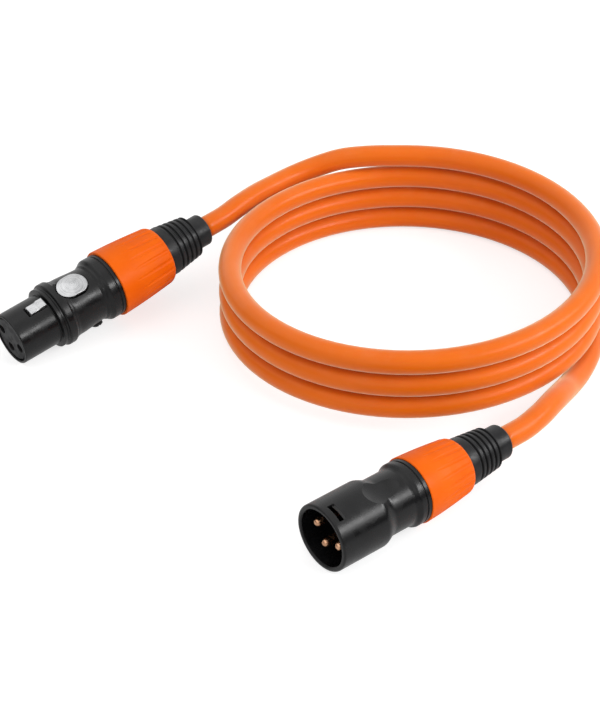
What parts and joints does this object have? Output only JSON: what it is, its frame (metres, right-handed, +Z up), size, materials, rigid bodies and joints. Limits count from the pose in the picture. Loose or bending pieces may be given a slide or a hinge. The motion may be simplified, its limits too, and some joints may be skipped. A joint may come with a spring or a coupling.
{
  "type": "coiled balanced audio cable",
  "caption": "Coiled audio cable with a pin plug and a latching socket plug, screw collars and ribbed strain-relief boots.",
  "frame": {"origin": "on the floor that the cable lies on, in the middle of the box round the two plugs", "axes": "+X from the mating faces towards the boots, +Y from the male plug to the female plug, +Z up"},
  "size_m": [0.1638, 0.1466, 0.0293],
  "materials": {
    "shell": "satin black moulded plastic",
    "insert": "matt black moulded plastic",
    "boot": "matt black rubber",
    "collar": "bright orange moulded plastic",
    "cord": "soft satin orange jacket",
    "bright": "bright metal",
    "contact": "copper-gold plating",
    "core": "wire insulation"
  },
  "bodies": {
    "cable": {"female_shell": "shell", "female_insert": "insert", "female_contacts": "contact", "female_latch_pin": "bright", "female_latch_spring": "bright", "female_ground_tag": "bright", "female_screw": "shell", "female_wires": "core", "female_chuck": "insert", "female_cord_tail": "cord", "male_shell": "shell", "male_insert": "insert", "male_pins": "contact", "male_ground_tag": "bright", "male_wires": "core", "male_chuck": "insert", "male_cord_tail": "cord", "cord_coil": "cord", "cord_lead_female": "cord", "cord_lead_male": "cord"},
    "female_latch_body": {"female_latch": "bright"},
    "female_boot_body": {"female_boot": "boot"},
    "female_collar_body": {"female_collar": "collar"},
    "male_boot_body": {"male_boot": "boot"},
    "male_collar_body": {"male_collar": "collar"}
  },
  "joints": [
    {"name": "latch_press", "type": "hinge", "parent": "cable", "child": "female_latch_body", "pos_m": [-0.00894, 0.06118, 0.01746], "axis": [0.0384, -0.9613, -0.273], "range_deg": [0, 4], "stiffness_Nm_per_rad": 0.3, "springref_deg": -2.86, "deforming": ["female_latch_spring"]},
    {"name": "female_boot_slide", "type": "slide", "parent": "cable", "child": "female_boot_body", "axis": [0.9903, 0, 0.1392], "range_m": [0, 0.004]},
    {"name": "female_collar_turn", "type": "hinge", "parent": "female_boot_body", "child": "female_collar_body", "pos_m": [0.00509, 0.06275, 0.01391], "axis": [0.9903, 0, 0.1392], "range_deg": [0, 1440]},
    {"name": "male_boot_slide", "type": "slide", "parent": "cable", "child": "male_boot_body", "axis": [1, 0, 0], "range_m": [0, 0.004]},
    {"name": "male_collar_turn", "type": "hinge", "parent": "male_boot_body", "child": "male_collar_body", "pos_m": [0.0141, -0.06385, 0.0095], "axis": [1, 0, 0], "range_deg": [0, 1440]}
  ],
  "couplings": [
    {"joint": "female_boot_slide", "follows": "female_collar_turn", "m_per_rad": 0.00015915},
    {"joint": "male_boot_slide", "follows": "male_collar_turn", "m_per_rad": 0.00015915}
  ]
}
